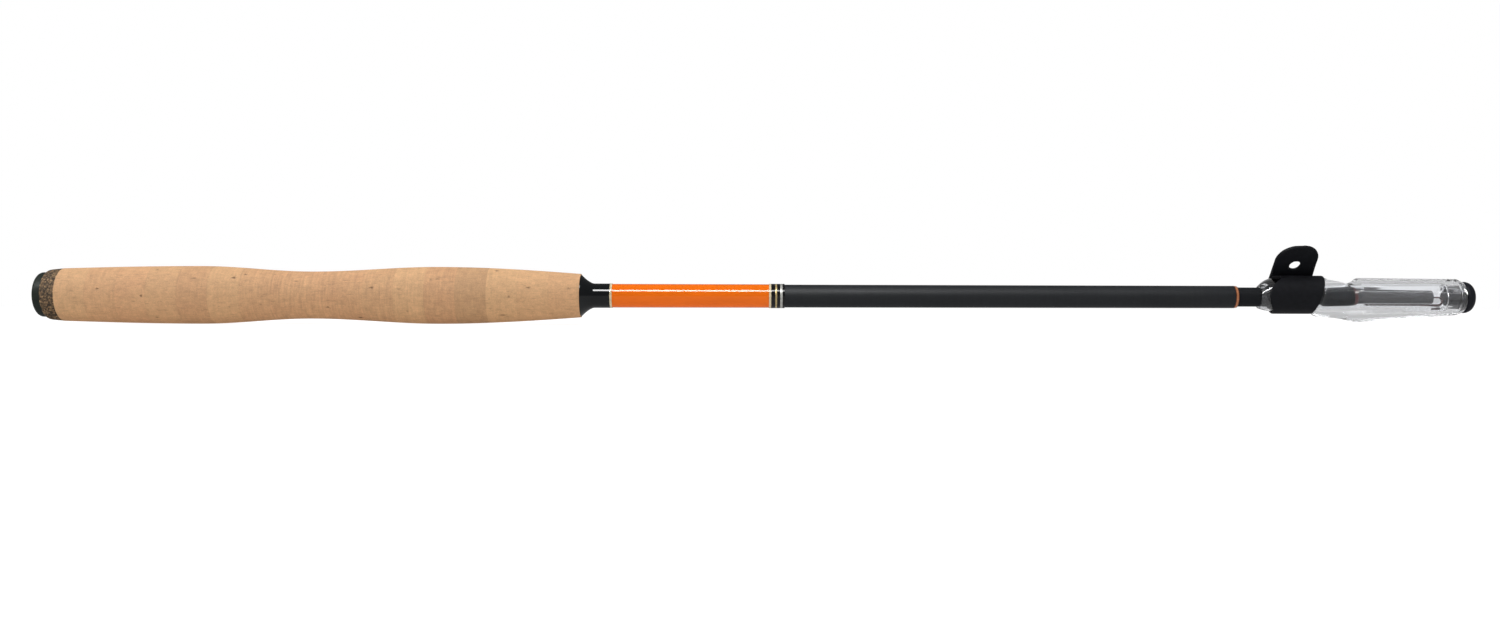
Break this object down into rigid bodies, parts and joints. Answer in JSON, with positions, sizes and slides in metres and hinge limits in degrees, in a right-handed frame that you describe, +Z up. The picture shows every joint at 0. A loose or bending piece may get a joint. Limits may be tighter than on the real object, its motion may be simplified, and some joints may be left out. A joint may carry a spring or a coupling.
{
  "type": "telescopic tenkara rod",
  "caption": "Collapsed telescopic fixed-line rod with a shaped cork grip, screw butt cap, nested carbon sections and a clear tip cap with a rubber strap.",
  "frame": {"origin": "centre of the sunk end face of the butt screw cap, on the rod's axis", "axes": "+X along the rod's axis from the butt to the tip, +Z up through the tip cap's pull tab, +Y away from the picture's viewer"},
  "size_m": [0.5987, 0.024, 0.0334],
  "materials": {
    "black_metal": "satin black paint",
    "black_rubber": "matt",
    "alloy": "turned",
    "burl_cork": "sanded rubberised cork",
    "cork": "sanded cork",
    "gloss_black": "clear coated black",
    "cream_trim": "clear coated cream",
    "gold_trim": "clear coated gold thread",
    "silver_trim": "clear coated silver thread",
    "orange_lacquer": "clear coated orange",
    "carbon": "satin carbon fibre",
    "carbon_gloss": "carbon fibre",
    "copper_paint": "copper paint",
    "maroon_paint": "maroon paint",
    "red_braid": "braided cord",
    "clear_plastic": "clear moulded plastic",
    "strap_rubber": "matt moulded rubber",
    "plug_rubber": "smooth rubber"
  },
  "bodies": {
    "handle": {"thread_insert": "alloy", "burl_ring": "burl_cork", "cork_ring_01": "cork", "cork_ring_02": "cork", "cork_ring_03": "cork", "cork_ring_04": "cork", "cork_ring_05": "cork", "cork_ring_06": "cork", "cork_ring_07": "cork", "cork_ring_08": "cork", "cork_ring_09": "cork", "cork_ring_10": "cork", "cork_ring_11": "cork", "cork_ring_12": "cork", "cork_ring_13": "cork", "cork_ring_14": "cork", "cork_ring_15": "cork", "cork_ring_16": "cork", "cork_ring_17": "cork", "winding_check": "gloss_black", "check_line": "cream_trim", "lacquer_band": "orange_lacquer", "wrap_cream": "cream_trim", "wrap_black_wide": "gloss_black", "wrap_gold": "gold_trim", "wrap_black_middle": "gloss_black", "wrap_silver": "silver_trim", "wrap_black_narrow": "gloss_black", "butt_section": "carbon", "butt_mouth_ring": "copper_paint"},
    "butt_seal": {"butt_cap_seal": "black_rubber"},
    "butt_screw": {"butt_cap": "black_metal", "shock_pad": "black_rubber"},
    "second": {"section_2": "carbon_gloss", "section_2_mouth_ring": "maroon_paint"},
    "third": {"section_3": "carbon_gloss"},
    "fourth": {"section_4": "carbon_gloss"},
    "fifth": {"section_5": "carbon_gloss"},
    "sixth": {"section_6": "carbon_gloss"},
    "tip": {"tip_section": "carbon_gloss", "lillian_sleeve": "black_metal", "lillian": "red_braid", "lillian_knot": "red_braid"},
    "tip_cap": {"clear_cap": "clear_plastic", "cap_strap": "strap_rubber", "cap_end_plug": "plug_rubber"}
  },
  "joints": [
    {"name": "butt_seal_travel", "type": "slide", "parent": "handle", "child": "butt_seal", "axis": [-1, 0, 0], "range_m": [0, 0.0062]},
    {"name": "butt_cap_turn", "type": "hinge", "parent": "butt_seal", "child": "butt_screw", "pos_m": [0, 0, 0], "axis": [-1, 0, 0], "range_deg": [0, 2160]},
    {"name": "second_draw", "type": "slide", "parent": "handle", "child": "second", "axis": [1, 0, 0], "range_m": [0, 0.44]},
    {"name": "third_draw", "type": "slide", "parent": "second", "child": "third", "axis": [1, 0, 0], "range_m": [0, 0.475]},
    {"name": "fourth_draw", "type": "slide", "parent": "third", "child": "fourth", "axis": [1, 0, 0], "range_m": [0, 0.475]},
    {"name": "fifth_draw", "type": "slide", "parent": "fourth", "child": "fifth", "axis": [1, 0, 0], "range_m": [0, 0.475]},
    {"name": "sixth_draw", "type": "slide", "parent": "fifth", "child": "sixth", "axis": [1, 0, 0], "range_m": [0, 0.475]},
    {"name": "tip_draw", "type": "slide", "parent": "sixth", "child": "tip", "axis": [1, 0, 0], "range_m": [0, 0.475]},
    {"name": "cap_pull", "type": "slide", "parent": "tip", "child": "tip_cap", "axis": [1, 0, 0], "range_m": [0, 0.095]}
  ],
  "couplings": [
    {"joint": "butt_seal_travel", "follows": "butt_cap_turn", "m_per_rad": 0.00015915}
  ]
}
